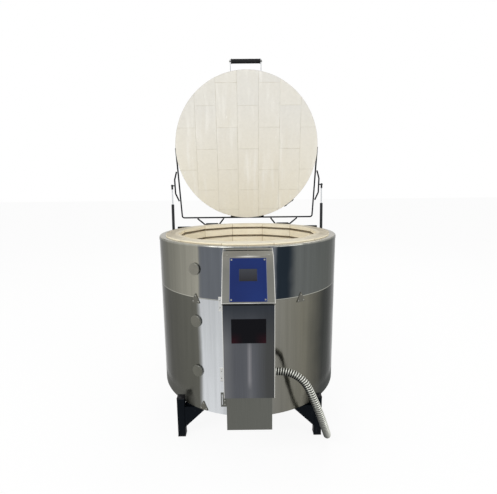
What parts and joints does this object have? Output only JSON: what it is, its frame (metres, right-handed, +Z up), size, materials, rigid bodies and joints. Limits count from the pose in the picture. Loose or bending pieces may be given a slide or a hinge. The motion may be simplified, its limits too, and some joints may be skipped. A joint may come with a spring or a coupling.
{
  "type": "ceramic kiln",
  "caption": "Twelve-sided electric ceramic kiln with raised lid, front control box, stand and power conduit.",
  "frame": {"origin": "on the floor under the chamber's axis", "axes": "+Z up, -Y towards the control box at the front, +X to the right seen from the front"},
  "size_m": [0.992, 1.206, 1.8786],
  "materials": {
    "mirror_stainless": "polished stainless sheet",
    "rim_steel": "bright brushed steel",
    "firebrick": "matte insulating firebrick",
    "lid_brick": "matte brick with a smudged coating",
    "ceramic_fibre": "loose white fibre blanket",
    "element_wire": "dark oxidised wire",
    "porcelain": "glazed white",
    "brass_parts": "plain",
    "black_steel": "black enamel",
    "box_paint": "satin brushed sheet",
    "panel_blue": "satin blue",
    "screen_glass": "dark gloss",
    "circuit_board": "green laminate with components",
    "black_plastic": "black",
    "zinc_steel": "zinc plated",
    "rubber_black": "black",
    "strut_black": "gloss black",
    "rod_chrome": "polished",
    "conduit_metal": "dull interlocked strip",
    "wire_sheath": "glass-braid high-temperature lead",
    "label_black": "black gloss"
  },
  "bodies": {
    "kiln": {"bottom_pan": "rim_steel", "box_chassis": "box_paint", "box_lower_panel": "box_paint", "box_standoffs": "zinc_steel", "case_screws": "zinc_steel", "conduit_coil": "conduit_metal", "conduit_connector": "zinc_steel", "conduit_end_connector": "zinc_steel", "conduit_free": "conduit_metal", "control_transformer": "zinc_steel", "cover_hinge_fixed_leaf_and_pin": "rim_steel", "element_tails": "element_wire", "floor_slab": "firebrick", "heating_elements": "element_wire", "hinge_brackets": "black_steel", "input_terminals_and_fuse": "black_plastic", "insulation_blanket": "ceramic_fibre", "jacket_lower": "mirror_stainless", "jacket_upper": "mirror_stainless", "joining_plates": "zinc_steel", "power_leads": "wire_sheath", "power_relays": "black_plastic", "rear_bar": "black_steel", "rear_uprights": "black_steel", "rim_cap": "rim_steel", "stand_caps": "black_plastic", "stand_feet": "rubber_black", "stand_posts": "black_steel", "stand_rails_and_gussets": "black_steel", "strut_lower_mounts": "black_steel", "terminal_connectors": "brass_parts", "terminal_insulators": "porcelain", "thermocouples": "porcelain", "wall_bricks": "firebrick"},
    "lid": {"lid_slab": "lid_brick", "lid_band": "rim_steel", "lid_band_clamp": "zinc_steel", "lid_frame_arm_left": "black_steel", "lid_frame_arm_right": "black_steel", "lid_frame_crossbar": "black_steel", "lid_hinge_loops": "black_steel", "lid_strut_loops": "black_steel", "lid_frame_saddle": "black_steel", "lid_handle_brackets": "zinc_steel", "lid_handle_fasteners": "zinc_steel", "lid_handle_grip": "rubber_black"},
    "control_cover": {"box_cover": "box_paint", "box_cover_screws": "zinc_steel", "cover_hinge_moving_leaf": "rim_steel", "controller_plate": "panel_blue", "controller_screen": "screen_glass", "controller_board": "circuit_board", "blank_label_plate": "label_black"},
    "strut_tube_left": {"strut_tube_left": "strut_black"},
    "strut_rod_left": {"strut_rod_left": "rod_chrome"},
    "strut_tube_right": {"strut_tube_right": "strut_black"},
    "strut_rod_right": {"strut_rod_right": "rod_chrome"},
    "peephole_plug_upper": {"peephole_plug_upper": "zinc_steel"},
    "peephole_plug_middle": {"peephole_plug_middle": "zinc_steel"},
    "peephole_plug_lower": {"peephole_plug_lower": "zinc_steel"}
  },
  "joints": [
    {"name": "lid_hinge", "type": "hinge", "parent": "kiln", "child": "lid", "pos_m": [0, 0.485, 0.887], "axis": [1, 0, 0], "range_deg": [0, 83.3]},
    {"name": "strut_swing_left", "type": "hinge", "parent": "kiln", "child": "strut_tube_left", "pos_m": [-0.487, 0.485, 0.737], "axis": [1, 0, 0], "range_deg": [0, 54.2]},
    {"name": "strut_slide_left", "type": "slide", "parent": "strut_tube_left", "child": "strut_rod_left", "axis": [0, -0.0598, -0.9982], "range_m": [0, 0.0828]},
    {"name": "strut_swing_right", "type": "hinge", "parent": "kiln", "child": "strut_tube_right", "pos_m": [0.487, 0.485, 0.737], "axis": [1, 0, 0], "range_deg": [0, 54.2]},
    {"name": "strut_slide_right", "type": "slide", "parent": "strut_tube_right", "child": "strut_rod_right", "axis": [0, -0.0598, -0.9982], "range_m": [0, 0.0828]},
    {"name": "plug_pull_upper", "type": "slide", "parent": "kiln", "child": "peephole_plug_upper", "axis": [-0.5, -0.866, 0], "range_m": [0, 0.12]},
    {"name": "plug_pull_middle", "type": "slide", "parent": "kiln", "child": "peephole_plug_middle", "axis": [-0.5, -0.866, 0], "range_m": [0, 0.12]},
    {"name": "plug_pull_lower", "type": "slide", "parent": "kiln", "child": "peephole_plug_lower", "axis": [-0.5, -0.866, 0], "range_m": [0, 0.12]},
    {"name": "cover_hinge", "type": "hinge", "parent": "kiln", "child": "control_cover", "pos_m": [-0.102, -0.463, 0.5], "axis": [0, 0, -1], "range_deg": [0, 90]}
  ],
  "couplings": [
    {"joint": "strut_swing_left", "follows": "lid_hinge", "ratio": 0.65015},
    {"joint": "strut_slide_left", "follows": "lid_hinge", "m_per_rad": 0.056838},
    {"joint": "strut_swing_right", "follows": "lid_hinge", "ratio": 0.65015},
    {"joint": "strut_slide_right", "follows": "lid_hinge", "m_per_rad": 0.056838}
  ]
}
